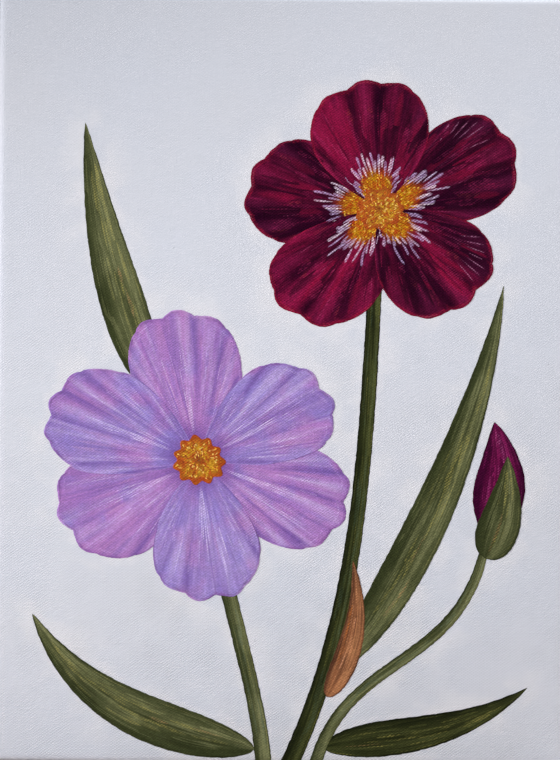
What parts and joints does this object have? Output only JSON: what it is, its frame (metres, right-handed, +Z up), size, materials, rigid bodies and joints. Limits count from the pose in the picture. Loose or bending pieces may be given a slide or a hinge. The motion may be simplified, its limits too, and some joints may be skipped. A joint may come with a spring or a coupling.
{
  "type": "painted stretched canvas",
  "caption": "Cotton canvas stretched over keyed pine bars and stapled behind, with a painting of a lilac and a burgundy flower on its pale face.",
  "frame": {"origin": "middle of the bottom edge, halfway through the depth, on the surface that the canvas stands on", "axes": "+Z up the canvas, +X to the right of the painting as it is looked at, +Y out of the back, so the painted face looks along -Y"},
  "size_m": [0.306, 0.04, 0.4064],
  "materials": {
    "pine": "planed, unfinished",
    "key_wood": "sawn, unfinished",
    "primed_cotton": "matt primer over a plain weave",
    "staple_steel": "galvanised",
    "lilac_paint": "satin acrylic paint",
    "pink_lilac_paint": "satin acrylic paint",
    "burgundy_paint": "satin acrylic paint",
    "crimson_paint": "satin acrylic paint",
    "gold_paint": "satin acrylic paint",
    "olive_paint": "satin acrylic paint",
    "sap_green_paint": "satin acrylic paint",
    "russet_paint": "satin acrylic paint",
    "plum_paint": "satin acrylic paint"
  },
  "bodies": {
    "root": {"canvas": "primed_cotton", "stretcher_bar_bottom": "pine", "stretcher_bar_right": "pine", "stretcher_bar_top": "pine", "stretcher_bar_left": "pine", "key_bottom_bar_left": "key_wood", "key_bottom_bar_right": "key_wood", "key_right_bar_bottom": "key_wood", "key_right_bar_top": "key_wood", "key_top_bar_right": "key_wood", "key_top_bar_left": "key_wood", "key_left_bar_top": "key_wood", "key_left_bar_bottom": "key_wood", "staple_bottom_1": "staple_steel", "staple_bottom_2": "staple_steel", "staple_bottom_3": "staple_steel", "staple_bottom_4": "staple_steel", "staple_right_1": "staple_steel", "staple_right_2": "staple_steel", "staple_right_3": "staple_steel", "staple_right_4": "staple_steel", "staple_right_5": "staple_steel", "staple_right_6": "staple_steel", "staple_top_1": "staple_steel", "staple_top_2": "staple_steel", "staple_top_3": "staple_steel", "staple_top_4": "staple_steel", "staple_left_1": "staple_steel", "staple_left_2": "staple_steel", "staple_left_3": "staple_steel", "staple_left_4": "staple_steel", "staple_left_5": "staple_steel", "staple_left_6": "staple_steel", "paint_lilac_petal_1": "pink_lilac_paint", "paint_lilac_petal_2": "pink_lilac_paint", "paint_lilac_petal_3": "pink_lilac_paint", "paint_lilac_petal_4": "lilac_paint", "paint_lilac_petal_5": "lilac_paint", "paint_lilac_petal_6": "lilac_paint", "paint_lilac_centre": "gold_paint", "paint_burgundy_centre": "gold_paint", "paint_burgundy_petal_1": "burgundy_paint", "paint_burgundy_petal_2": "burgundy_paint", "paint_burgundy_petal_5": "burgundy_paint", "paint_burgundy_petal_3": "crimson_paint", "paint_burgundy_petal_4": "crimson_paint", "paint_leaf_behind": "olive_paint", "paint_bud_stem": "olive_paint", "paint_lilac_stem": "olive_paint", "paint_left_leaf": "olive_paint", "paint_right_leaf": "olive_paint", "paint_bud_sepal": "olive_paint", "paint_burgundy_stem": "sap_green_paint", "paint_low_leaf": "sap_green_paint", "paint_sheath": "russet_paint", "paint_bud_petal": "plum_paint"}
  },
  "joints": []
}
